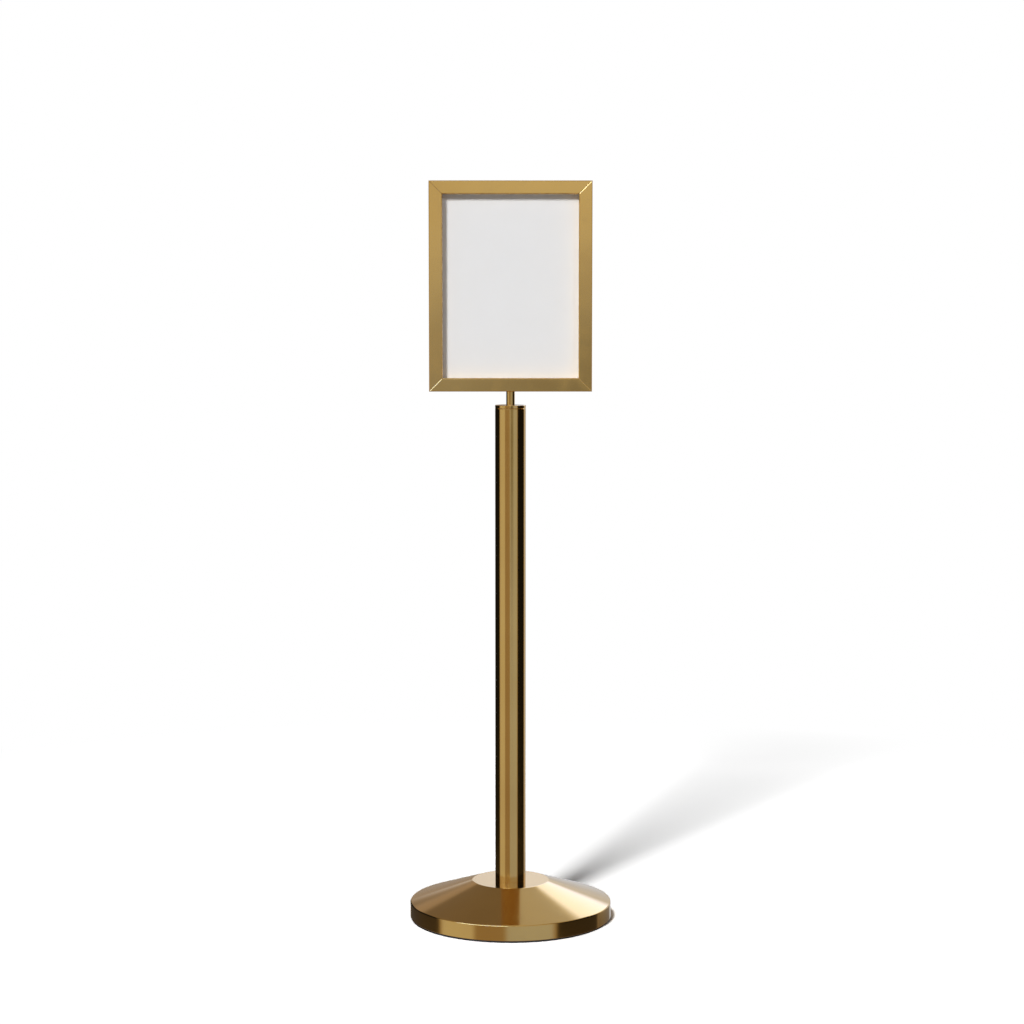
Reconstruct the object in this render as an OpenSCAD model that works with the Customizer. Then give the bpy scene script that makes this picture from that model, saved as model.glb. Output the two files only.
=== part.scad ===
// Floor sign stand: a weighted round base, a post, a swivel stem and a mitred frame with a sliding sign.
// Sizes are in millimetres. +Z is up, the origin is on the floor under the post, and the sign faces -Y.

/* [Base] */
// Outside diameter of the base
base_d = 335; // [290:1:400]
// Height of the flat disc that carries the post, above the floor
base_h = 63.5; // [56:0.5:80]
// Height of the rim's upper corner above the floor, before it is rounded
rim_h = 28.5; // [25:0.5:38]
// Radius of the round between the rim and the cone
rim_round = 3; // [2:0.25:6]
// Diameter of the flat disc on top of the base
disc_d = 127; // [115:1:160]
// Wall of the spun cover
cover_t = 1.2; // [0.8:0.1:1.8]
// Thickness of the rubber ring under the base
ring_t = 4; // [3:0.5:7]
// Width of the rubber ring, from its outer to its inner edge
ring_w = 26; // [15:1:50]
// Height of the rubber ring that the cover hides
ring_hidden = 0.8; // [0.4:0.1:1.5]
// Thickness of the plate of the cast weight
plate_t = 14; // [10:0.5:17]
// Diameter of the hub of the cast weight
hub_d = 100; // [80:1:110]

/* [Base bolt] */
// Diameter of the bolt
bolt_d = 12; // [8:1:16]
// Width of the bolt's head across its flats
bolt_flats = 18; // [16:1:22]
// Height of the bolt's head
bolt_head_h = 7.5; // [5:0.5:10]
// Outside diameter of the flat washer
washer_d = 24; // [20:1:28]
// Thickness of the flat washer
washer_t = 2.5; // [1.5:0.25:3]
// Outside diameter of the lock washer
lock_d = 21; // [19:0.5:24]
// Thickness of the lock washer
lock_t = 3; // [2:0.25:4]
// Width of the cut through the lock washer
lock_cut = 2; // [1:0.25:3]
// Diameter of the well in the weight that takes the bolt's head
well_d = 34; // [30:1:44]
// Height of the bolt's head above the underside of the weight
head_lift = 3; // [1:0.5:6]

/* [Post] */
// Outside diameter of the post
post_d = 50.8; // [44:0.2:60]
// Wall of the post tube
post_wall = 1.6; // [1.2:0.1:2.5]
// Length of the post tube
post_len = 788.8; // [500:0.1:1000]
// Height of the cap above the tube
cap_h = 4.6; // [3:0.1:10]
// Radius of the round on the cap's upper edge
cap_round = 0.8; // [0.4:0.1:1.5]
// Depth of the cap's plug inside the tube
cap_plug_h = 26; // [15:1:50]
// Height of the threaded plug in the foot of the tube
foot_plug_h = 30; // [20:1:60]
// Room between the threaded plug and the cover, so that the tube carries the load
foot_plug_lift = 0.5; // [0.2:0.1:0.8]
// Length of the threaded plug above the bolt's end
bolt_short = 4; // [1:0.5:8]

/* [Stem] */
// Diameter of the stem where it shows
stem_d = 14.2; // [13:0.1:18]
// Length of stem that shows between the cap and the frame
stem_show = 22.4; // [12:0.1:80]
// Diameter of the stem inside its bush
journal_d = 12; // [9:0.5:12.5]
// Diameter of the stem's threaded end in the frame
thread_d = 10; // [6:0.5:12]
// Outside diameter of the bush
bush_d = 16; // [14.5:0.5:22]
// Diameter of the bush's flange
bush_flange_d = 22; // [19:0.5:30]
// Thickness of the bush's flange
bush_flange_t = 2; // [1:0.25:2.5]
// Outside diameter of the thrust washer
thrust_d = 24; // [19:0.5:34]
// Thickness of the thrust washer
thrust_t = 1; // [0.5:0.1:2]
// Outside diameter of the disc spring
spring_d = 22; // [17:0.5:30]
// Thickness of the disc spring
spring_t = 1; // [0.6:0.1:1.5]
// Height by which the disc spring is coned
spring_rise = 0.6; // [0.2:0.1:1.2]
// Outside diameter of the retaining ring
clip_d = 19; // [16:0.5:26]
// Thickness of the retaining ring
clip_t = 1.2; // [0.8:0.1:2]
// Depth of the stem's groove for the retaining ring
clip_groove = 1; // [0.5:0.1:1.5]
// Width of the mouth of the retaining ring
clip_mouth = 7; // [4:0.5:8]
// Length of stem below the retaining ring
stem_tail = 3; // [1.5:0.5:10]

/* [Frame] */
// Outside width of the frame
frame_w = 266.7; // [220:0.1:420]
// Outside height of the frame
frame_h = 342.9; // [240:0.1:560]
// Width of a rail's front face
rail_w = 22.2; // [20:0.1:30]
// Wall of the rails
rail_wall = 1.8; // [1.2:0.1:2.2]
// Bevel along the front and rear edges of the rails
rail_bevel = 1; // [0.4:0.1:1.5]
// Depth of the sign's face behind the front of the frame
recess = 18; // [14:0.5:24]
// Depth of the groove that holds the sign and the back panel
groove_d = 3.3; // [2.4:0.1:4]
// Thickness of the sign
sign_t = 2; // [1:0.1:3]
// Depth of the sign's top edge below the top of the frame
sign_drop = 1.5; // [0.5:0.1:4]
// Thickness of the back panel
back_t = 3; // [1.5:0.1:4]
// Radius of the thumb notch behind the sign's top edge
notch_r = 12; // [8:0.5:16]
// Length of each leg of a corner key
key_leg = 45; // [40:1:70]
// Thickness of a corner key
key_t = 6; // [6:0.25:8]
// Diameter of the corner screws
screw_d = 5; // [4:0.5:5.5]
// Length of the corner screws
screw_len = 7; // [5:0.5:10]
// Width of the corner screws' hexagon socket across its flats
socket_flats = 2.5; // [2:0.1:3]
// Depth of the corner screws' socket
socket_depth = 3; // [2:0.25:4]
// Distance of a corner screw from the end of its rail
screw_in = 32; // [28:1:36]
// Length of the stem block along the bottom rail
block_len = 40; // [24:1:80]
// Height of the stem block
block_h = 12; // [8:0.5:13]

/* [Clearances] */
// Radial room between pieces that are pressed or screwed together
press_fit = 0.05; // [0.02:0.01:0.1]
// Radial room between the stem and its bush
swivel_fit = 0.05; // [0.02:0.01:0.1]
// Room under the stem's shoulder and above its thrust washer
thrust_gap = 0.1; // [0.05:0.01:0.3]
// Radial room around the bolt in the weight and the cover
bolt_room = 0.5; // [0.3:0.1:1.5]
// Room around the weight and the rubber ring inside the cover
cover_room = 0.4; // [0.3:0.1:0.8]
// Room around the sign in its slot and grooves
sign_room = 0.3; // [0.2:0.05:0.4]
// Room between the sign and the back panel
back_room = 0.5; // [0.3:0.05:1]
// Room around the back panel, the corner keys and the stem block
panel_fit = 0.1; // [0.05:0.01:0.2]
// Gap between two rails at a mitre
mitre_gap = 0.1; // [0.04:0.01:0.3]
// Depth of a corner screw below the rail's surface
screw_sink = 0.3; // [0.1:0.1:0.8]

/* [Hidden] */
$fn = 96;
cut = 1;
base_r = base_d / 2;
disc_r = disc_d / 2;
cone_a = atan((base_h - rim_h) / (base_r - disc_r));
cover_z = ring_t - ring_hidden;
inner_base_r = base_r - cover_t;
hub_top = base_h - cover_t;
loose_r = inner_base_r - cover_room;
bolt_r = bolt_d / 2;
bolt_hole_r = bolt_r + bolt_room;
head_z = ring_t + head_lift;
lock_z = head_z + bolt_head_h;
washer_z = lock_z + lock_t;
well_top = washer_z + washer_t;
post_r = post_d / 2;
post_bore_r = post_r - post_wall;
foot_plug_z = base_h + foot_plug_lift;
bolt_end = foot_plug_z + foot_plug_h - bolt_short;
tube_top = base_h + post_len;
cap_top = tube_top + cap_h;
cap_bottom = tube_top - cap_plug_h;
plug_r = post_bore_r - press_fit;
stem_r = stem_d / 2;
journal_r = journal_d / 2;
bush_bore_r = journal_r + swivel_fit;
washer_bore_r = journal_r + bolt_room / 2;
thrust_z = cap_bottom - thrust_gap - thrust_t;
spring_z = thrust_z - press_fit - spring_t - spring_rise;
clip_z = spring_z - press_fit - clip_t;
clip_bore_r = journal_r - clip_groove;
stem_end = clip_z - press_fit - stem_tail;
frame_z = cap_top + stem_show;
frame_top = frame_z + frame_h;
rail_d = recess + sign_t + back_room + back_t + panel_fit + rail_wall;
front_y = -rail_d / 2;
back_y = rail_d / 2;
groove_u = rail_w - groove_d;
slot_v = recess - sign_room;
slot_depth = sign_t + 2 * sign_room;
slot_half = frame_w / 2 - groove_u;
sign_half = slot_half - sign_room;
sign_z = frame_z + groove_u + panel_fit;
sign_h = frame_top - sign_drop - sign_z;
back_half = slot_half - panel_fit;
back_z = frame_z + groove_u + panel_fit;
back_h = frame_h - 2 * groove_u - 2 * panel_fit;
key_in = rail_wall + panel_fit;
key_y = front_y + key_in;
screw_y = key_y + key_t / 2;
screw_r = screw_d / 2;
screw_hole_r = screw_r + press_fit;
thread_r = thread_d / 2;
thread_end = frame_z + rail_wall + block_h;

// A washer or sleeve that stands on height z
module ring(outer_r, inner_r, height, z) {
    translate([0, 0, z])
        difference() {
            cylinder(r = outer_r, h = height);
            translate([0, 0, -cut])
                cylinder(r = inner_r, h = height + 2 * cut);
        }
}

// A hexagonal prism measured across its flats
module hexagon(flats, height) {
    cylinder(r = flats / 2 / cos(30), h = height, $fn = 6);
}

// Half section of the space under the base's outer skin, moved inwards by the given wall
module base_section(wall, low) {
    round_r = max(rim_round - wall, cover_t / 2);
    rim_r = base_r - wall;
    rim_z = rim_h - wall * tan((90 - cone_a) / 2);
    flat_r = disc_r - wall * tan(cone_a / 2);
    flat_z = base_h - wall;
    round_x = rim_r - round_r;
    round_z = rim_z - round_r * tan((90 - cone_a) / 2);
    polygon([
        [0, low],
        [rim_r, low],
        [rim_r, round_z],
        [round_x, round_z],
        [round_x + round_r * sin(cone_a), round_z + round_r * cos(cone_a)],
        [flat_r, flat_z],
        [0, flat_z]
    ]);
    translate([round_x, round_z])
        circle(r = round_r);
}

module floor_ring() {
    color("#1c1b1a")
        ring(loose_r, loose_r - ring_w, ring_t, 0);
}

module base_weight() {
    color("#3b3a38")
        difference() {
            union() {
                translate([0, 0, ring_t])
                    cylinder(r = loose_r, h = plate_t);
                translate([0, 0, ring_t])
                    cylinder(d = hub_d, h = hub_top - ring_t);
            }
            translate([0, 0, ring_t - cut])
                cylinder(d = well_d, h = well_top - ring_t + cut);
            cylinder(r = bolt_hole_r, h = base_h);
        }
}

module base_cover() {
    color("#b08d4e")
        rotate_extrude()
            difference() {
                base_section(0, cover_z);
                base_section(cover_t, cover_z - cut);
                square([bolt_hole_r, base_h + cut]);
            }
}

module base_bolt() {
    color("#8d8f92")
        translate([0, 0, head_z])
            union() {
                hexagon(bolt_flats, bolt_head_h);
                cylinder(r = bolt_r, h = bolt_end - head_z);
            }
}

module base_washer() {
    color("#9a9c9f")
        ring(washer_d / 2, bolt_hole_r, washer_t, washer_z);
}

module lock_washer() {
    color("#85878a")
        difference() {
            ring(lock_d / 2, bolt_hole_r, lock_t, lock_z);
            translate([0, -lock_cut / 2, lock_z - cut])
                cube([lock_d, lock_cut, lock_t + 2 * cut]);
        }
}

module post_tube() {
    color("#b08d4e")
        ring(post_r, post_bore_r, post_len, base_h);
}

module foot_plug() {
    color("#8d8f92")
        ring(plug_r, bolt_r + press_fit, foot_plug_h, foot_plug_z);
}

module post_cap() {
    color("#b89556")
        difference() {
            rotate_extrude() {
                translate([0, cap_bottom])
                    square([plug_r, cap_plug_h]);
                translate([0, tube_top])
                    square([post_r, cap_h - cap_round]);
                translate([0, tube_top])
                    square([post_r - cap_round, cap_h]);
                translate([post_r - cap_round, cap_top - cap_round])
                    circle(r = cap_round);
            }
            translate([0, 0, cap_bottom - cut])
                cylinder(r = bush_d / 2 + press_fit, h = cap_plug_h + cap_h + 2 * cut);
            translate([0, 0, cap_top - bush_flange_t])
                cylinder(r = bush_flange_d / 2 + press_fit, h = bush_flange_t + cut);
        }
}

module stem_bush() {
    color("#9c7a45")
        difference() {
            union() {
                translate([0, 0, cap_bottom])
                    cylinder(d = bush_d, h = cap_top - cap_bottom);
                translate([0, 0, cap_top - bush_flange_t])
                    cylinder(d = bush_flange_d, h = bush_flange_t);
            }
            translate([0, 0, cap_bottom - cut])
                cylinder(r = bush_bore_r, h = cap_top - cap_bottom + 2 * cut);
        }
}

module stem() {
    color("#b08d4e")
        difference() {
            union() {
                translate([0, 0, stem_end])
                    cylinder(r = journal_r, h = cap_top + thrust_gap - stem_end);
                translate([0, 0, cap_top + thrust_gap])
                    cylinder(r = stem_r, h = stem_show - thrust_gap);
                translate([0, 0, frame_z])
                    cylinder(r = thread_r, h = thread_end - frame_z);
            }
            ring(journal_r + cut, clip_bore_r, clip_t + 2 * press_fit, clip_z - press_fit);
        }
}

module thrust_washer() {
    color("#e5e0d4")
        ring(thrust_d / 2, washer_bore_r, thrust_t, thrust_z);
}

module disc_spring() {
    color("#77797c")
        rotate_extrude()
            polygon([
                [washer_bore_r, spring_z + spring_rise],
                [spring_d / 2, spring_z],
                [spring_d / 2, spring_z + spring_t],
                [washer_bore_r, spring_z + spring_rise + spring_t]
            ]);
}

module retaining_ring() {
    color("#6f7174")
        difference() {
            ring(clip_d / 2, clip_bore_r + press_fit, clip_t, clip_z);
            translate([-clip_mouth / 2, 0, clip_z - cut])
                cube([clip_mouth, clip_d, clip_t + 2 * cut]);
        }
}

module stem_block() {
    block_d = rail_d - 2 * key_in;
    color("#8d8f92")
        difference() {
            translate([-block_len / 2, -block_d / 2, frame_z + rail_wall])
                cube([block_len, block_d, block_h]);
            translate([0, 0, frame_z])
                cylinder(r = thread_r + press_fit, h = rail_wall + block_h + cut);
        }
}

// Section of a rail: the first axis runs from the front to the rear, the second from the outer to the inner edge
module rail_section(hollow_rear) {
    front_room = slot_v - 2 * rail_wall;
    difference() {
        polygon([
            [0, rail_bevel],
            [rail_bevel, 0],
            [rail_d - rail_bevel, 0],
            [rail_d, rail_bevel],
            [rail_d, rail_w],
            [rail_bevel, rail_w],
            [0, rail_w - rail_bevel]
        ]);
        translate([rail_wall, rail_wall])
            square([front_room, rail_w - 2 * rail_wall]);
        if (hollow_rear)
            translate([rail_wall, rail_wall])
                square([rail_d - 2 * rail_wall, groove_u - 2 * rail_wall]);
        translate([slot_v, groove_u])
            square([rail_d - rail_wall - slot_v, groove_d + cut]);
    }
}

// A mitred rail along X, with its outer edge on z = 0, its inner edge above and a screw hole near each end
module rail(length, hollow_rear = true) {
    half = length / 2 - mitre_gap / 2;
    difference() {
        intersection() {
            translate([-length / 2, front_y, 0])
                rotate([90, 0, 90])
                    linear_extrude(length)
                        rail_section(hollow_rear);
            translate([0, back_y + cut, 0])
                rotate([90, 0, 0])
                    linear_extrude(rail_d + 2 * cut)
                        polygon([[-half, 0], [half, 0], [half - rail_w, rail_w], [rail_w - half, rail_w]]);
        }
        for (side = [-1, 1])
            translate([side * (length / 2 - screw_in), screw_y, -cut])
                cylinder(r = screw_hole_r, h = rail_wall + 2 * cut);
    }
}

module top_rail() {
    color("#b89a5e")
        translate([0, 0, frame_top])
            mirror([0, 0, 1])
                difference() {
                    rail(frame_w, hollow_rear = false);
                    translate([-slot_half, front_y + slot_v, -cut])
                        cube([2 * slot_half, slot_depth, rail_w + 2 * cut]);
                    translate([0, back_y + cut, 0])
                        rotate([90, 0, 0])
                            cylinder(r = notch_r, h = rail_d - slot_v - slot_depth + 2 * cut);
                }
}

module bottom_rail() {
    color("#a6864a")
        translate([0, 0, frame_z])
            difference() {
                rail(frame_w);
                translate([0, 0, -cut])
                    cylinder(r = thread_r + bolt_room, h = rail_wall + 2 * cut);
            }
}

module left_rail() {
    color("#b0925a")
        translate([-frame_w / 2, 0, frame_z + frame_h / 2])
            rotate([0, 90, 0])
                rail(frame_h);
}

module right_rail() {
    color("#ab8b50")
        translate([frame_w / 2, 0, frame_z + frame_h / 2])
            rotate([0, -90, 0])
                rail(frame_h);
}

// Repeats a piece drawn for the lower left corner, with that corner at the origin, at all four corners
module at_corners() {
    translate([0, 0, frame_z + frame_h / 2])
        for (flip_x = [0, 1], flip_z = [0, 1])
            mirror([flip_x, 0, 0])
                mirror([0, 0, flip_z])
                    translate([-frame_w / 2, 0, -frame_h / 2])
                        children();
}

// Draws a shape that points up from the bottom rail's outer face, and again from the side rail's
module at_both_screws() {
    translate([screw_in, screw_y, 0])
        children();
    translate([0, screw_y, screw_in])
        rotate([0, 90, 0])
            children();
}

module corner_keys() {
    key_w = rail_w - 2 * key_in;
    color("#9a9c9f")
        at_corners()
            difference() {
                translate([key_in, key_y, key_in])
                    union() {
                        cube([key_leg, key_t, key_w]);
                        cube([key_w, key_t, key_leg]);
                    }
                at_both_screws()
                    cylinder(r = screw_hole_r, h = screw_sink + screw_len + panel_fit);
            }
}

module corner_screws() {
    color("#4a4b4d")
        at_corners()
            at_both_screws()
                translate([0, 0, screw_sink])
                    difference() {
                        cylinder(r = screw_r, h = screw_len);
                        translate([0, 0, -cut])
                            hexagon(socket_flats, socket_depth + cut);
                    }
}

module back_panel() {
    color("#262524")
        translate([-back_half, back_y - rail_wall - panel_fit - back_t, back_z])
            cube([2 * back_half, back_t, back_h]);
}

module sign_panel() {
    color("#efefee")
        translate([-sign_half, front_y + recess, sign_z])
            cube([2 * sign_half, sign_t, sign_h]);
}

floor_ring();
base_weight();
base_cover();
base_bolt();
base_washer();
lock_washer();
post_tube();
foot_plug();
post_cap();
stem_bush();
stem();
thrust_washer();
disc_spring();
retaining_ring();
stem_block();
top_rail();
bottom_rail();
left_rail();
right_rail();
corner_keys();
corner_screws();
back_panel();
sign_panel();
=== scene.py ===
"""Looks of a floor sign stand: brass base, post and stem, and a mitred frame with a bare white sheet."""
import math
from functools import partial

import bmesh
import bpy
from mathutils import Matrix, Vector


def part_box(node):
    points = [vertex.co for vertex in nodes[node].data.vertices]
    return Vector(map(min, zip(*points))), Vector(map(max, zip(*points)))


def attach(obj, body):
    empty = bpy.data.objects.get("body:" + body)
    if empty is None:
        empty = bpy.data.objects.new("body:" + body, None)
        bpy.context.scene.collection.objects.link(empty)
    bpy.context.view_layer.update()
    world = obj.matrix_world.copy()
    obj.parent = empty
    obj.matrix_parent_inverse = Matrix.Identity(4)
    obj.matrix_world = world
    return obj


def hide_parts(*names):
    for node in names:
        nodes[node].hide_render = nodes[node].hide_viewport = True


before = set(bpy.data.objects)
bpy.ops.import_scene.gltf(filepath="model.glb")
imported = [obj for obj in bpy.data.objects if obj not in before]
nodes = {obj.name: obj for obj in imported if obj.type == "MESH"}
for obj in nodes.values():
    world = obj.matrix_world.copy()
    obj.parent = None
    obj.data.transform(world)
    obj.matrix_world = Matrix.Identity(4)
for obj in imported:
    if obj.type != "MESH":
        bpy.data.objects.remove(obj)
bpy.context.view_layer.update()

# Lengths are in metres: how near two points count as one, and how near they are welded
MM = 0.001
near = 0.01 * MM
weld = 0.001 * MM

# Sizes of the base
cover_low, cover_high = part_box("base_cover")
rim_radius = cover_high.x
cover_foot = cover_low.z
cover_top = cover_high.z
cover_wall = 1.2 * MM
rim_height = 28.5 * MM
rim_round = 2.2 * MM
foot_round = 0.5 * MM
disc_radius = 63.5 * MM
disc_round = 0.8 * MM
cover_hole = 6.5 * MM
cone_angle = math.atan((cover_top - rim_height) / (rim_radius - disc_radius))
ring_low, ring_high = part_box("floor_ring")
ring_width = 26 * MM
ring_round = 0.2 * MM
base_steps = 256
ring_steps = 192

# Sizes of the post, its cap and the stem
tube_low, tube_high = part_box("post_tube")
cap_low, cap_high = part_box("post_cap")
bush_low, bush_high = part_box("stem_bush")
stem_low, stem_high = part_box("stem")
post_radius = tube_high.x
tube_wall = 1.6 * MM
joint_height = 1.5 * MM
joint_inset = 0.68 * MM
foot_chamfer = 0.2 * MM
plug_chamfer = 0.2 * MM
cap_chamfer = 0.6 * MM
plug_room = 0.05 * MM
plug_radius = post_radius - tube_wall - plug_room
bush_seat = 8.05 * MM
flange_seat = 11.05 * MM
flange_depth = 2 * MM
bush_radius = 8 * MM
bush_bore = 6.05 * MM
bush_flange = 11 * MM
bush_round = 0.3 * MM
stem_radius = stem_high.x
stem_gap = 0.1 * MM
stem_foot = cap_high.z + stem_gap
stem_round = 0.35 * MM
journal_radius = 6 * MM
clip_radius = 5 * MM
thread_radius = 5 * MM
post_steps = 160
stem_steps = 96

# Sizes of the frame
frame_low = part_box("bottom_rail")[0]
frame_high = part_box("top_rail")[1]
frame_width = frame_high.x - frame_low.x
frame_height = frame_high.z - frame_low.z
rail_width = 22.2 * MM
rail_depth = frame_high.y - frame_low.y
rail_front = frame_low.y
rail_thickness = 1.8 * MM
edge_round = 1.5 * MM
window_round = 2 * MM
rear_chamfer = 0.9 * MM
mitre_gap = 0.05 * MM
mitre_land = 0.39 * MM
mitre_drop = 0.168 * MM
groove_start = 17.7 * MM
groove_depth = 3.3 * MM
slot_width = 2.6 * MM
slot_half = 114.3 * MM
notch_radius = 12 * MM
screw_inset = 32 * MM
screw_place = -7.8 * MM
screw_hole = 2.55 * MM
thread_hole = 5.5 * MM
sheet_round = 0.25 * MM
overlap = 1 * MM
bore_steps = 64
edge_segments = 8
sheet_segments = 3


# Mesh helpers
def bevel(bm, edges, width, segments):
    """Rounds edges, or cuts them flat if there is only one segment."""
    bmesh.ops.bevel(
        bm, geom=edges, offset=width, affect="EDGES", segments=segments, profile=0.5, material=-1,
    )


def ring_edges(bm, radius, height):
    """Edges of a turned mesh that run round the axis at one radius and height."""
    found = []
    for edge in bm.edges:
        if all(
            abs(math.hypot(v.co.x, v.co.y) - radius) < near and abs(v.co.z - height) < near
            for v in edge.verts
        ):
            found.append(edge)
    return found


def turned(corners, steps, segments=6):
    """A closed outline of (radius, height, rounding) corners, turned once round the upright axis."""
    bm = bmesh.new()
    outline = [bm.verts.new((radius, 0, height)) for radius, height, rounding in corners]
    sides = [bm.edges.new(pair) for pair in zip(outline, outline[1:] + outline[:1])]
    bmesh.ops.spin(
        bm, geom=outline + sides, axis=(0, 0, 1), cent=(0, 0, 0),
        angle=math.tau, steps=steps, use_merge=True,
    )
    bmesh.ops.remove_doubles(bm, verts=bm.verts, dist=weld)
    bmesh.ops.recalc_face_normals(bm, faces=bm.faces)
    for radius, height, rounding in corners:
        if rounding:
            bevel(bm, ring_edges(bm, radius, height), rounding, segments)
    return bm


def rail_bar(length, cavity):
    """A hollow mitred bar along X, front to -Y, outer edge on z = 0 and inner edge above."""
    half = length / 2 - mitre_gap
    rear_wall = rail_depth - rail_thickness
    groove_floor = rail_width - groove_depth
    outside = (
        (0, 0), (rail_depth, 0), (rail_depth, rail_width),
        (rear_wall, rail_width), (rear_wall, groove_floor),
        (groove_start, groove_floor), (groove_start, rail_width), (0, rail_width),
    )
    bm = bmesh.new()
    loops = []
    for loop in (outside, cavity):
        corners = []
        for back, up in loop:
            corners.append(bm.verts.new((up - half, rail_front + max(back, mitre_drop), up)))
        loops += [bm.edges.new(pair) for pair in zip(corners, corners[1:] + corners[:1])]
    region = bmesh.ops.triangle_fill(bm, edges=loops, use_beauty=True)["geom"]

    # Three runs: up from the sunk mitre line, along to the far end, and down to the other mitre line
    rise_along = mitre_land * math.sqrt(2)
    for run in ("up", "along", "down"):
        region = bmesh.ops.extrude_face_region(bm, geom=region)["geom"]
        for corner in (item.co for item in region if isinstance(item, bmesh.types.BMVert)):
            on_front = corner.y < rail_front + mitre_drop + near
            corner.x = -corner.x if run == "along" else corner.x + rise_along
            if on_front:
                corner.y = rail_front + mitre_drop if run == "down" else rail_front
    bmesh.ops.recalc_face_normals(bm, faces=bm.faces)

    front_limit = rail_front + mitre_drop + near
    rear_limit = rail_front + rail_depth - near
    outer_edges, window_edges, rear_edges = [], [], []
    for edge in bm.edges:
        low, high = (v.co for v in edge.verts)
        if abs(low.z - high.z) > near:
            continue
        on_outer = low.z < near
        on_inner = low.z > rail_width - near
        on_front = low.y < front_limit and high.y < front_limit
        on_rear = low.y > rear_limit and high.y > rear_limit
        if on_outer and on_front:
            outer_edges.append(edge)
        elif on_inner and on_front:
            window_edges.append(edge)
        elif on_rear and (on_outer or on_inner):
            rear_edges.append(edge)
    for edges, cut, segments in (
        (outer_edges, edge_round, edge_segments),
        (window_edges, window_round, edge_segments),
        (rear_edges, rear_chamfer, 1),
    ):
        bevel(bm, edges, cut, segments)
    return bm


def box_between(low, high, rounding=0):
    """A box from its lowest to its highest corner, with rounded edges if asked."""
    bm = bmesh.new()
    size = Vector(high) - Vector(low)
    middle = (Vector(high) + Vector(low)) / 2
    place = Matrix.Translation(middle) @ Matrix.Diagonal((*size, 1))
    bmesh.ops.create_cube(bm, size=1, matrix=place)
    if rounding:
        bevel(bm, bm.edges[:], rounding, sheet_segments)
    return bm


def pin(start, end, radius):
    """A plain round pin between two points, used to bore holes."""
    bm = bmesh.new()
    run = Vector(end) - Vector(start)
    turn = run.to_track_quat("Z", "Y").to_matrix().to_4x4()
    place = Matrix.Translation((Vector(start) + Vector(end)) / 2) @ turn
    bmesh.ops.create_cone(
        bm, cap_ends=True, segments=bore_steps, radius1=radius, radius2=radius,
        depth=run.length, matrix=place,
    )
    return bm


def loose_object(bm, name):
    """Turns a bmesh into an object of the scene."""
    mesh = bpy.data.meshes.new(name)
    bm.to_mesh(mesh)
    bm.free()
    made = bpy.data.objects.new(name, mesh)
    bpy.context.scene.collection.objects.link(made)
    return made


def cut_out(bm, name, cutters):
    """Cuts every cutter out of a bmesh, and gives the mesh that is left."""
    blank = loose_object(bm, name)
    tools = [loose_object(cutter, name + "_cutter") for cutter in cutters]
    for tool in tools:
        saw = blank.modifiers.new("cut", "BOOLEAN")
        saw.operation = "DIFFERENCE"
        saw.solver = "EXACT"
        saw.object = tool
    bpy.context.view_layer.update()
    done = blank.evaluated_get(bpy.context.evaluated_depsgraph_get())
    left = bmesh.new()
    left.from_mesh(done.to_mesh())
    done.to_mesh_clear()
    for used in [blank, *tools]:
        bpy.data.objects.remove(used)
    return left


def piece(bm, name, finish, body, node, crisp=35):
    """A finished piece: smooth faces, crisp corners, its finish and the CAD node that it stands for."""
    for edge in bm.edges:
        edge.smooth = edge.calc_face_angle(0) < math.radians(crisp)
    for face in bm.faces:
        face.smooth = True
    made = loose_object(bm, name)
    made.data.materials.append(finish)
    flats = made.modifiers.new("flat_faces", "WEIGHTED_NORMAL")
    flats.keep_sharp = True
    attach(made, body)
    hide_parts(node)
    return made


# Node helpers
def new_finish(name):
    """A node material, with its shader and functions that add a node and link two sockets."""
    finish = bpy.data.materials.new(name)
    finish.use_nodes = True
    tree = finish.node_tree
    shader = tree.nodes["Principled BSDF"]
    return finish, shader, partial(add_node, tree), tree.links.new


def bare_finish(name):
    """A node material without a shader, with functions that add a node and set the surface."""
    finish = bpy.data.materials.new(name)
    finish.use_nodes = True
    tree = finish.node_tree
    tree.nodes.clear()
    add = partial(add_node, tree)

    def show(surface):
        add("OutputMaterial", Surface=surface)

    return finish, add, show


def add_node(tree, kind, settings=None, **inputs):
    """Adds a node: settings are its properties, inputs are values or sockets by name or number."""
    node = tree.nodes.new("ShaderNode" + kind)
    for key, value in (settings or {}).items():
        setattr(node, key, value)
    for key, value in inputs.items():
        numbered = key[0] == "i" and key[1:].isdigit()
        target = node.inputs[int(key[1:]) if numbered else key.replace("_", " ")]
        if isinstance(value, bpy.types.NodeSocket):
            tree.links.new(value, target)
        else:
            target.default_value = value
    return node


def set_ramp(ramp, stops, blend="LINEAR"):
    """Sets a colour ramp to (position, colour) stops."""
    ramp.interpolation = blend
    while len(ramp.elements) > 1:
        ramp.elements.remove(ramp.elements[-1])
    for index, (position, colour) in enumerate(stops):
        stop = ramp.elements[0] if index == 0 else ramp.elements.new(position)
        stop.position = position
        stop.color = (*colour, 1)


# Finishes
brass_light = (0.76, 0.475, 0.120)
brass_deep = (0.70, 0.425, 0.100)


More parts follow.
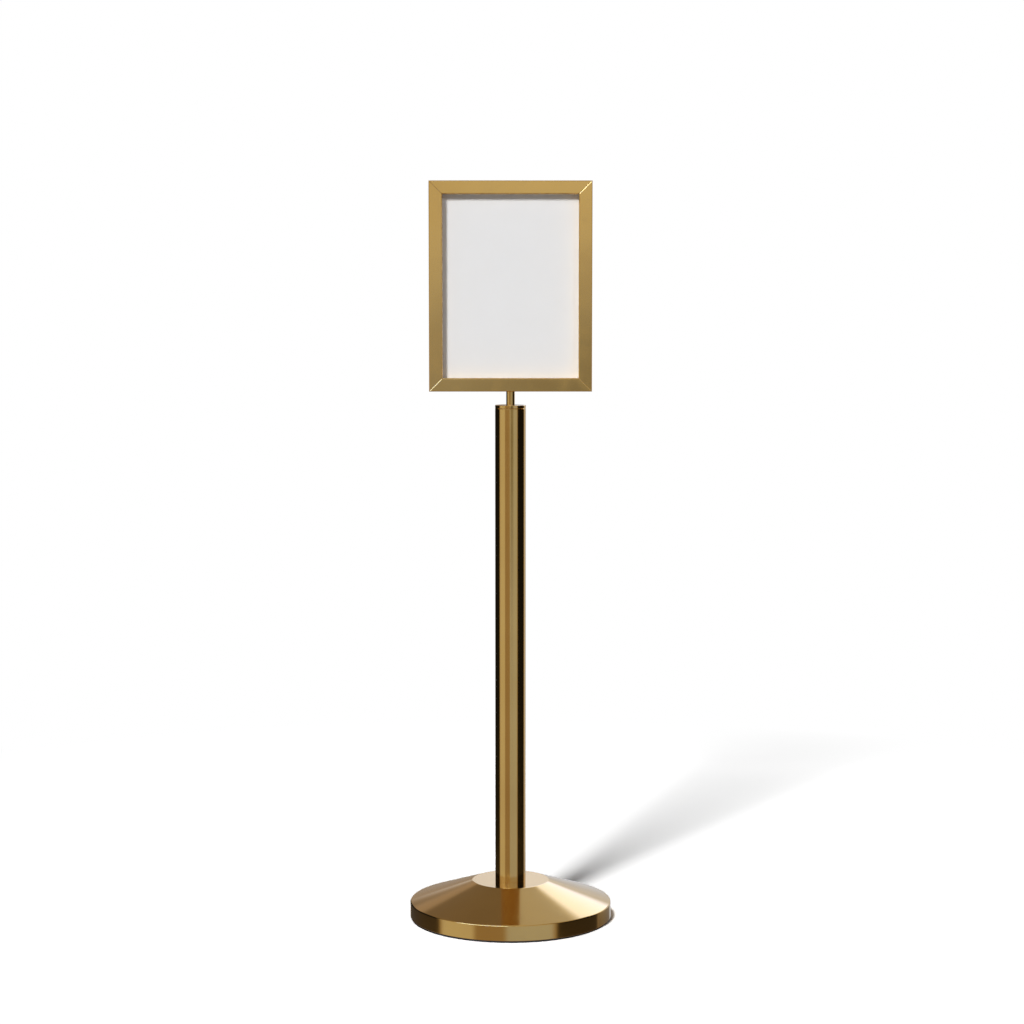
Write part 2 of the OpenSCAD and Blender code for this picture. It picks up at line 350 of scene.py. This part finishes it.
def brass(name, grain, turned_grain=False, polish=0.10, smudge=0.05, stretch=0.0):
    """Lacquered brass: fine polishing grain, faint smudges and slow changes of tone."""
    finish, shader, add, link = new_finish(name)
    place = add("TexCoord").outputs["Object"]
    if turned_grain:
        flat = add("VectorMath", {"operation": "MULTIPLY"}, i0=place, i1=(1, 1, 0)).outputs["Vector"]
        radius = add("VectorMath", {"operation": "LENGTH"}, i0=flat).outputs["Value"]
        height = add("SeparateXYZ", Vector=place).outputs["Z"]
        across = add("Math", {"operation": "ADD"}, i0=radius, i1=height).outputs["Value"]
        lines = add(
            "TexNoise", {"noise_dimensions": "1D"}, W=across, Scale=grain, Detail=3.0, Roughness=0.6,
        )
    else:
        stretched = add("Mapping", Vector=place, Scale=grain).outputs["Vector"]
        lines = add("TexNoise", Vector=stretched, Scale=1.0, Detail=3.0, Roughness=0.6)
    smears = add("TexNoise", Vector=place, Scale=26.0, Detail=4.0, Roughness=0.55, Distortion=0.6)
    tone = add("TexNoise", Vector=place, Scale=7.0, Detail=3.0, Roughness=0.5)

    colour = add("ValToRGB", Fac=tone.outputs["Fac"])
    set_ramp(colour.color_ramp, [(0.30, brass_deep), (0.70, brass_light)], "EASE")
    link(colour.outputs["Color"], shader.inputs["Base Color"])

    rough = add(
        "MapRange", {"interpolation_type": "SMOOTHSTEP"},
        i0=smears.outputs["Fac"], i1=0.45, i2=0.75, i3=polish, i4=polish + smudge,
    )
    grain_rough = add(
        "Math", {"operation": "MULTIPLY_ADD"},
        i0=lines.outputs["Fac"], i1=0.02, i2=rough.outputs["Result"],
    )
    link(grain_rough.outputs["Value"], shader.inputs["Roughness"])

    bump = add("Bump", Strength=0.06, Distance=0.03 * MM, Height=lines.outputs["Fac"])
    link(bump.outputs["Normal"], shader.inputs["Normal"])
    if stretch:
        round_axis = add("Tangent", {"direction_type": "RADIAL", "axis": "Z"})
        link(round_axis.outputs["Tangent"], shader.inputs["Tangent"])
        shader.inputs["Anisotropic"].default_value = stretch
        shader.inputs["Anisotropic Rotation"].default_value = 0.25
    shader.inputs["Metallic"].default_value = 1.0
    shader.inputs["Coat Weight"].default_value = 1.0
    shader.inputs["Coat Roughness"].default_value = 0.03
    shader.inputs["Coat IOR"].default_value = 1.5
    return finish


def grainy(name, dark, light, rough, grain_size, bump_height, metal=0.0):
    """A cast, rolled, moulded or coated surface: two tones, broken gloss and a fine grain."""
    finish, shader, add, link = new_finish(name)
    place = add("TexCoord").outputs["Object"]
    grain = add("TexNoise", Vector=place, Scale=1 / grain_size, Detail=5.0, Roughness=0.6)
    cloud = add("TexNoise", Vector=place, Scale=22.0, Detail=3.0, Roughness=0.5)
    fine = add("Math", {"operation": "MULTIPLY"}, i0=grain.outputs["Fac"], i1=0.45)
    both = add(
        "Math", {"operation": "MULTIPLY_ADD"},
        i0=cloud.outputs["Fac"], i1=0.55, i2=fine.outputs["Value"],
    )
    colour = add("ValToRGB", Fac=both.outputs["Value"])
    set_ramp(colour.color_ramp, [(0.35, dark), (0.65, light)], "EASE")
    link(colour.outputs["Color"], shader.inputs["Base Color"])
    gloss = add("MapRange", i0=both.outputs["Value"], i1=0.3, i2=0.7, i3=rough[0], i4=rough[1])
    link(gloss.outputs["Result"], shader.inputs["Roughness"])
    bump = add("Bump", Strength=0.25, Distance=bump_height, Height=grain.outputs["Fac"])
    link(bump.outputs["Normal"], shader.inputs["Normal"])
    shader.inputs["Metallic"].default_value = metal
    return finish


turned_brass = brass("turned_brass", grain=5200, turned_grain=True, polish=0.11)
post_brass = brass("post_brass", grain=(2600, 2600, 12), polish=0.13, smudge=0.03, stretch=0.6)
cap_brass = brass("cap_brass", grain=6400, turned_grain=True)
level_rail_brass = brass("level_rail_brass", grain=(9, 2400, 2400))
upright_rail_brass = brass("upright_rail_brass", grain=(2400, 2400, 9))
bush_bronze = grainy(
    "bush_bronze", dark=(0.30, 0.17, 0.06), light=(0.42, 0.26, 0.10),
    rough=(0.30, 0.45), grain_size=0.4 * MM, bump_height=0.02 * MM, metal=1.0,
)
floor_rubber = grainy(
    "floor_rubber", dark=(0.004, 0.004, 0.004), light=(0.010, 0.010, 0.009),
    rough=(0.65, 0.85), grain_size=0.5 * MM, bump_height=0.05 * MM,
)
cast_iron = grainy(
    "cast_iron", dark=(0.020, 0.019, 0.018), light=(0.050, 0.047, 0.043),
    rough=(0.55, 0.8), grain_size=1.2 * MM, bump_height=0.25 * MM, metal=0.4,
)
zinc_plate = grainy(
    "zinc_plate", dark=(0.42, 0.43, 0.44), light=(0.60, 0.61, 0.62),
    rough=(0.25, 0.42), grain_size=0.5 * MM, bump_height=0.02 * MM, metal=1.0,
)
spring_steel = grainy(
    "spring_steel", dark=(0.16, 0.16, 0.17), light=(0.27, 0.27, 0.28),
    rough=(0.25, 0.4), grain_size=0.4 * MM, bump_height=0.02 * MM, metal=1.0,
)
black_oxide = grainy(
    "black_oxide", dark=(0.020, 0.020, 0.022), light=(0.045, 0.045, 0.048),
    rough=(0.3, 0.5), grain_size=0.3 * MM, bump_height=0.02 * MM, metal=0.8,
)
white_nylon = grainy(
    "white_nylon", dark=(0.68, 0.67, 0.62), light=(0.78, 0.77, 0.73),
    rough=(0.4, 0.55), grain_size=0.6 * MM, bump_height=0.02 * MM,
)
back_board = grainy(
    "back_board", dark=(0.016, 0.015, 0.015), light=(0.030, 0.029, 0.028),
    rough=(0.5, 0.68), grain_size=0.5 * MM, bump_height=0.04 * MM,
)
sign_sheet = grainy(
    "sign_sheet", dark=(0.835, 0.828, 0.812), light=(0.845, 0.838, 0.824),
    rough=(0.5, 0.6), grain_size=0.35 * MM, bump_height=0.012 * MM,
)


# Base
rim_setback = rim_round * math.tan((math.pi / 2 - cone_angle) / 2)
inner_rim = rim_radius - cover_wall
inner_rim_height = rim_height - cover_wall * math.tan((math.pi / 2 - cone_angle) / 2)
inner_disc = disc_radius - cover_wall * math.tan(cone_angle / 2)
cover_outline = (
    (inner_rim, cover_foot, foot_round),
    (rim_radius, cover_foot, foot_round),
    (rim_radius, rim_height, rim_setback),
    (disc_radius, cover_top, disc_round),
    (cover_hole, cover_top, 0),
    (cover_hole, cover_top - cover_wall, 0),
    (inner_disc, cover_top - cover_wall, 0),
    (inner_rim, inner_rim_height, 0),
)
base_cover = turned(cover_outline, base_steps)
brass_cover = piece(
    base_cover, "brass_base_cover", turned_brass, "stand", "base_cover",
)

ring_bore = ring_high.x - ring_width
ring_outline = (
    (ring_bore, ring_low.z, ring_round),
    (ring_high.x, ring_low.z, ring_round),
    (ring_high.x, ring_high.z, 0),
    (ring_bore, ring_high.z, 0),
)
floor_ring = turned(ring_outline, ring_steps)
piece(floor_ring, "rubber_floor_ring", floor_rubber, "stand", "floor_ring")

# Post, cap and bush
tube_bore = post_radius - tube_wall
tube_outline = (
    (tube_bore, tube_low.z, 0),
    (post_radius, tube_low.z, foot_chamfer),
    (post_radius, tube_high.z - joint_height, 0),
    (post_radius - joint_inset, tube_high.z, 0),
    (tube_bore, tube_high.z, 0),
)
post_tube = turned(tube_outline, post_steps, segments=1)
brass_post = piece(
    post_tube, "brass_post_tube", post_brass, "stand", "post_tube", crisp=15,
)

cap_outline = (
    (bush_seat, cap_low.z, 0),
    (plug_radius, cap_low.z, plug_chamfer),
    (plug_radius, tube_high.z, 0),
    (post_radius, tube_high.z, 0),
    (post_radius, cap_high.z, cap_chamfer),
    (flange_seat, cap_high.z, bush_round),
    (flange_seat, cap_high.z - flange_depth, 0),
    (bush_seat, cap_high.z - flange_depth, 0),
)
post_cap = turned(cap_outline, post_steps, segments=1)
brass_cap = piece(post_cap, "brass_post_cap", cap_brass, "stand", "post_cap")

bush_outline = (
    (bush_bore, bush_low.z, 0),
    (bush_radius, bush_low.z, bush_round),
    (bush_radius, bush_high.z - flange_depth, 0),
    (bush_flange, bush_high.z - flange_depth, 0),
    (bush_flange, bush_high.z, bush_round),
    (bush_bore, bush_high.z, bush_round),
)
stem_bush = turned(bush_outline, stem_steps)
piece(stem_bush, "bronze_stem_bush", bush_bronze, "stand", "stem_bush")

# Stem
clip_low, clip_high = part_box("retaining_ring")
clip_gap = 0.05 * MM
stem_outline = (
    (0, stem_low.z, 0),
    (journal_radius, stem_low.z, stem_round),
    (journal_radius, clip_low.z - clip_gap, 0),
    (clip_radius, clip_low.z - clip_gap, 0),
    (clip_radius, clip_high.z + clip_gap, 0),
    (journal_radius, clip_high.z + clip_gap, 0),
    (journal_radius, stem_foot, 0),
    (stem_radius, stem_foot, stem_round),
    (stem_radius, frame_low.z, stem_round),
    (thread_radius, frame_low.z, 0),
    (thread_radius, stem_high.z, stem_round),
    (0, stem_high.z, 0),
)
swivel_stem = turned(stem_outline, stem_steps)
brass_stem = piece(swivel_stem, "brass_swivel_stem", post_brass, "head", "stem")

# Frame
front_room_end = groove_start - rail_thickness
cavity_foot = rail_thickness
cavity_top = rail_width - rail_thickness
cavity_step = rail_width - groove_depth - rail_thickness
cavity_back = rail_depth - rail_thickness
front_cavity = (
    (rail_thickness, cavity_foot), (front_room_end, cavity_foot),
    (front_room_end, cavity_top), (rail_thickness, cavity_top),
)
stepped_cavity = (
    (rail_thickness, cavity_foot), (cavity_back, cavity_foot), (cavity_back, cavity_step),
    (front_room_end, cavity_step), (front_room_end, cavity_top), (rail_thickness, cavity_top),
)


def screw_bores(length):
    """Cutters for the two corner-screw holes in a rail's outer face."""
    bores = []
    for side in (-1, 1):
        along = side * (length / 2 - screw_inset)
        start = (along, screw_place, -overlap)
        end = (along, screw_place, rail_thickness + overlap)
        bores.append(pin(start, end, screw_hole))
    return bores


def rail(node, length, place, finish, cavity, extra_cuts=()):
    """One rail of the frame, cut while it lies along X and then put in its place."""
    name = "brass_" + node
    bar = cut_out(rail_bar(length, cavity), name, [*screw_bores(length), *extra_cuts])
    bmesh.ops.transform(bar, matrix=place, verts=bar.verts)
    return piece(bar, name, finish, "head", node, crisp=15)


slot_front = rail_front + groove_start
sign_slot = box_between(
    (-slot_half, slot_front, -overlap), (slot_half, slot_front + slot_width, rail_width + overlap),
)
rail_back = rail_front + rail_depth
thumb_notch = pin((0, slot_front + slot_width / 2, 0), (0, rail_back + overlap, 0), notch_radius)
stem_bore = pin((0, 0, -overlap), (0, 0, rail_thickness + overlap), thread_hole)
quarter = math.pi / 2
middle_height = frame_low.z + frame_height / 2
top_place = Matrix.Translation((0, 0, frame_high.z)) @ Matrix.Rotation(2 * quarter, 4, "Y")
bottom_place = Matrix.Translation((0, 0, frame_low.z))
left_place = Matrix.Translation((frame_low.x, 0, middle_height)) @ Matrix.Rotation(quarter, 4, "Y")
right_place = Matrix.Translation((frame_high.x, 0, middle_height)) @ Matrix.Rotation(-quarter, 4, "Y")
top_cuts = [sign_slot, thumb_notch]
brass_rails = (
    rail("top_rail", frame_width, top_place, level_rail_brass, front_cavity, top_cuts),
    rail("bottom_rail", frame_width, bottom_place, level_rail_brass, stepped_cavity, [stem_bore]),
    rail("left_rail", frame_height, left_place, upright_rail_brass, stepped_cavity),
    rail("right_rail", frame_height, right_place, upright_rail_brass, stepped_cavity),
)

# Sign sheet and back panel
sign_piece = box_between(*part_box("sign_panel"), sheet_round)
white_sheet = piece(sign_piece, "white_sign_sheet", sign_sheet, "sign", "sign_panel")
back_piece = box_between(*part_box("back_panel"), sheet_round)
piece(back_piece, "black_back_panel", back_board, "head", "back_panel")

# Finishes of the CAD nodes that stay
kept_finishes = {
    "base_weight": cast_iron,
    "base_bolt": zinc_plate,
    "base_washer": zinc_plate,
    "lock_washer": spring_steel,
    "foot_plug": zinc_plate,
    "thrust_washer": white_nylon,
    "disc_spring": spring_steel,
    "retaining_ring": spring_steel,
    "stem_block": zinc_plate,
    "corner_keys": zinc_plate,
    "corner_screws": black_oxide,
}
for node_name, finish in kept_finishes.items():
    kept = nodes[node_name].data.materials
    kept.clear()
    kept.append(finish)

# Studio room that the brass mirrors: one warm tone, with plain panels hung in it
# Seen from the stand, 0 is towards the camera, plus is to the right of the picture, 180 is behind
plain = (1.0, 1.0, 1.0)
warm = (1.0, 0.8, 0.6)
cool = (0.8, 0.9, 1.2)
blue = (0.35, 0.5, 1.0)
room_brightness = 0.35
# Each panel: first and last azimuth, softness, first and last elevation, softness, tint, brightness
room_panels = (
    (-200, 200, 1, -100, -20, 4, warm, 0.3),
    (-200, 200, 1, 40, 100, 4, warm, 0.3),
    (-200, 200, 1, 70, 100, 6, plain, 0.7),
    (-85, -42, 4, -20, 20, 3, plain, 0.6),
    (-5, 50, 4, -20, 20, 3, cool, 0.6),
    (-165, -90, 4, -20, 40, 3, plain, 0.01),
    (55, 118, 3, -20, 40, 3, plain, 0.01),
    (124, 200, 4, -20, 20, 3, plain, 0.6),
    (-165, -90, 4, -20, -14, 1, warm, 0.07),
    (55, 118, 3, -20, -14, 1, warm, 0.05),
    (120, 160, 4, -20, -14, 1, warm, 0.15),
    (-15, 15, 6, 1, 8, 2, plain, 0.7),
    (0, 20, 8, -5, 0, 2, warm, 0.1),
    (-65, -3, 4, 22, 35, 3, blue, 10.0),
    (3, 50, 4, 22, 35, 3, plain, 0.8),
    (120, 200, 6, 18, 40, 3, cool, 1.8),
    (120, 200, 6, 40, 60, 3, plain, 0.5),
    (-200, -140, 6, 20, 30, 3, warm, 0.4),
    (-200, -140, 6, 30, 60, 3, warm, 0.2),
    (170, 200, 3, 11, 17, 2, plain, 0.9),
    (-200, -170, 3, 11, 17, 2, plain, 0.9),
)
# The flat rails of the frame mirror lighter side walls, so that they aren't black from the side
rail_panels = (
    (54, 118, 4, -100, 14, 4, warm, 0.4),
    (-156, -88, 4, -100, 14, 4, warm, 0.4),
)
brightest = 10.0
wall_distance = 80
wall_gap = 2
dome_segments = 96


def hide_from(made, *rays):
    """Hides an object from some kinds of light rays."""
    for ray in rays:
        setattr(made, "visible_" + ray, False)


def light_group(name, members, state="INCLUDE"):
    """The pieces that a lamp or a wall lights, or with EXCLUDE the ones that it leaves out."""
    group = bpy.data.collections.new(name)
    for member in members:
        group.objects.link(member)
    for entry in group.collection_objects:
        entry.light_linking.link_state = state
    return group


def studio_wall_finish(name, panels, see_through):
    """Light that the walls give off, worked out from the direction of each point of the dome."""
    finish, add, show = bare_finish(name)

    def degrees(radians):
        return add("Math", {"operation": "DEGREES"}, i0=radians).outputs["Value"]

    def rise(angle, start, end):
        settings = {"interpolation_type": "SMOOTHSTEP"}
        return add("MapRange", settings, i0=angle, i1=start, i2=end, i3=0.0, i4=1.0).outputs["Result"]

    def times(first, second):
        return add("Math", {"operation": "MULTIPLY"}, i0=first, i1=second).outputs["Value"]

    def between(angle, first, last, soft):
        return times(rise(angle, first - soft, first + soft), rise(angle, last + soft, last - soft))

    def tone(tint, brightness):
        return (*[part * brightness / brightest for part in tint], 1)

    outward = add("VectorMath", {"operation": "NORMALIZE"}, i0=add("TexCoord").outputs["Object"])
    parts = add("SeparateXYZ", Vector=outward.outputs["Vector"])
    towards = times(parts.outputs["Y"], -1.0)
    turn = add("Math", {"operation": "ARCTAN2"}, i0=parts.outputs["X"], i1=towards).outputs["Value"]
    azimuth = degrees(turn)
    elevation = degrees(add("Math", {"operation": "ARCSINE"}, i0=parts.outputs["Z"]).outputs["Value"])

    room = tone(warm, room_brightness)
    for first, last, soft, low, high, rise_soft, tint, brightness in panels:
        mask = times(between(azimuth, first, last, soft), between(elevation, low, high, rise_soft))
        hung = add("Mix", {"data_type": "RGBA"}, Factor=mask, i6=room, i7=tone(tint, brightness))
        room = hung.outputs[2]
    surface = add("Emission", Color=room, Strength=brightest).outputs["Emission"]
    if see_through:
        clear = add("BsdfTransparent").outputs["BSDF"]
        surface = add("AddShader", i0=surface, i1=clear).outputs["Shader"]
    show(surface)
    return finish


def studio_dome(name, distance, finish, rails_state):
    """A dome of walls that only mirrors show, for the frame's rails alone or for all but them."""
    dome = bmesh.new()
    bmesh.ops.create_uvsphere(
        dome, u_segments=dome_segments, v_segments=dome_segments // 2, radius=distance,
    )
    bmesh.ops.reverse_faces(dome, faces=dome.faces)
    made = loose_object(dome, name)
    made.data.materials.append(finish)
    hide_from(made, "camera", "diffuse", "transmission", "volume_scatter", "shadow")
    made.light_linking.receiver_collection = light_group(name + "_mirrors", brass_rails, rails_state)
    return made


wall_light = studio_wall_finish("studio_wall_light", room_panels, True)
rail_wall_light = studio_wall_finish("rail_wall_light", room_panels + rail_panels, False)
studio_wall = studio_dome("studio_wall", wall_distance, wall_light, "EXCLUDE")
rail_wall = studio_dome("rail_wall", wall_distance + wall_gap, rail_wall_light, "INCLUDE")

# Floor: white to the camera, with the stand's shadow
floor_size = 60
floor_drop = 0.02 * MM
shadow_gain = 2.76
floor_white = 0.80
# Share of plain white that covers the shadow, by distance from the stand in metres
shadow_fade = (
    (0.30, 0.0), (0.345, 0.05), (0.43, 0.09), (0.90, 0.16),
    (1.20, 0.24), (1.55, 0.76), (1.85, 1.0),
)


def floor_finish():
    """A white floor that keeps the shadow near the stand and fades to plain white further away."""
    finish, add, show = bare_finish("white_studio_floor")
    finish.cycles.emission_sampling = "NONE"
    rays = add("LightPath")
    plain = add("BsdfDiffuse", Color=(floor_white, floor_white, floor_white, 1))
    shaded = add("BsdfDiffuse", Color=(shadow_gain, shadow_gain, shadow_gain, 1))
    white = add("Emission", Color=(1, 1, 1, 1), Strength=1.0)
    place = add("TexCoord").outputs["Object"]
    reach = add("VectorMath", {"operation": "LENGTH"}, i0=place).outputs["Value"]
    far = shadow_fade[-1][0]
    fade = add("ValToRGB", Fac=add("Math", {"operation": "DIVIDE"}, i0=reach, i1=far).outputs["Value"])
    set_ramp(fade.color_ramp, [(distance / far, (share,) * 3) for distance, share in shadow_fade])
    seen = add(
        "MixShader", i0=fade.outputs["Color"], i1=shaded.outputs["BSDF"], i2=white.outputs["Emission"],
    )
    both = add(
        "MixShader",
        i0=rays.outputs["Is Camera Ray"], i1=plain.outputs["BSDF"], i2=seen.outputs["Shader"],
    )
    show(both.outputs["Shader"])
    return finish


ground = bmesh.new()
floor_place = Matrix.Translation((0, 0, -floor_drop))
bmesh.ops.create_grid(ground, x_segments=1, y_segments=1, size=floor_size, matrix=floor_place)
studio_floor = loose_object(ground, "studio_floor")
studio_floor.data.materials.append(floor_finish())
hide_from(studio_floor, "glossy")

# Contact card: hidden inside the foot of the base, it only throws the close shadow beside the rim
card_low = 8.6 * MM
card_high = 9.3 * MM
card_bore = 120 * MM
card_inset = 0.1 * MM
card_radius = rim_radius - card_inset
contact_outline = (
    (card_bore, card_low, 0),
    (card_radius, card_low, 0),
    (card_radius, card_high, 0),
    (card_bore, card_high, 0),
)
contact_card = loose_object(turned(contact_outline, ring_steps), "contact_card")
hide_from(contact_card, "camera", "diffuse", "glossy", "transmission")

# Lamps and background
key_azimuth = 23.8
key_elevation = 26.5
key_strength = 2.39
fill_azimuth = -28
fill_elevation = 20
fill_strength = 0.335
lamp_spread = 12
soft_level = 0.045


def sun(name, azimuth, elevation, strength, spread):
    """A soft sun lamp; azimuth is measured from the camera towards the left."""
    lamp = bpy.data.lights.new(name, "SUN")
    lamp.energy = strength
    lamp.angle = math.radians(spread)
    made = bpy.data.objects.new(name, lamp)
    bpy.context.scene.collection.objects.link(made)
    made.rotation_euler = (math.radians(90 - elevation), 0, -math.radians(azimuth))
    return made


key_lamp = sun("key_lamp", key_azimuth, key_elevation, key_strength, lamp_spread)
fill_lamp = sun("fill_lamp", fill_azimuth, fill_elevation, fill_strength, lamp_spread)

# The polished post and base mirror the wall's light panels instead of the lamp, the base throws no
# long shadow, and the fill lamp lights only the sheet
unlit_brass = (brass_cover, brass_post, brass_cap, brass_stem)
shadowless = (brass_cover, nodes["base_weight"])
key_links = key_lamp.light_linking
key_links.receiver_collection = light_group("brass_out_of_key_lamp", unlit_brass, "EXCLUDE")
key_links.blocker_collection = light_group("base_without_long_shadow", shadowless, "EXCLUDE")
fill_lamp.light_linking.receiver_collection = light_group("sheet_in_fill_lamp", [white_sheet])

world = bpy.data.worlds.new("studio_background")
bpy.context.scene.world = world
world.use_nodes = True
sky = world.node_tree
sky.nodes.clear()
add_sky = partial(add_node, sky)
sky_rays = add_sky("LightPath").outputs
seen_white = sky_rays["Is Camera Ray"]
for ray_kind in ("Is Glossy Ray", "Is Transmission Ray"):
    either = add_sky("Math", {"operation": "MAXIMUM"}, i0=seen_white, i1=sky_rays[ray_kind])
    seen_white = either.outputs["Value"]
soft_light = add_sky("Background", Color=(1, 1, 1, 1), Strength=soft_level)
white_light = add_sky("Background", Color=(1, 1, 1, 1), Strength=1.0)
background = add_sky(
    "MixShader",
    i0=seen_white, i1=soft_light.outputs["Background"], i2=white_light.outputs["Background"],
)
add_sky("OutputWorld", Surface=background.outputs["Shader"])

# Camera
lens = 85.04
sensor = 36
sight = 200
camera_place = (2.4 * MM, -3.972, 1.052)
camera_tilt = 5.346
camera_data = bpy.data.cameras.new("photo_camera")
camera_data.lens = lens
camera_data.sensor_width = sensor
camera_data.clip_end = sight
camera = bpy.data.objects.new("photo_camera", camera_data)
bpy.context.scene.collection.objects.link(camera)
camera.location = camera_place
camera.rotation_euler = (math.radians(90 - camera_tilt), 0, 0)
bpy.context.scene.camera = camera
bpy.context.scene.view_settings.view_transform = "Standard"
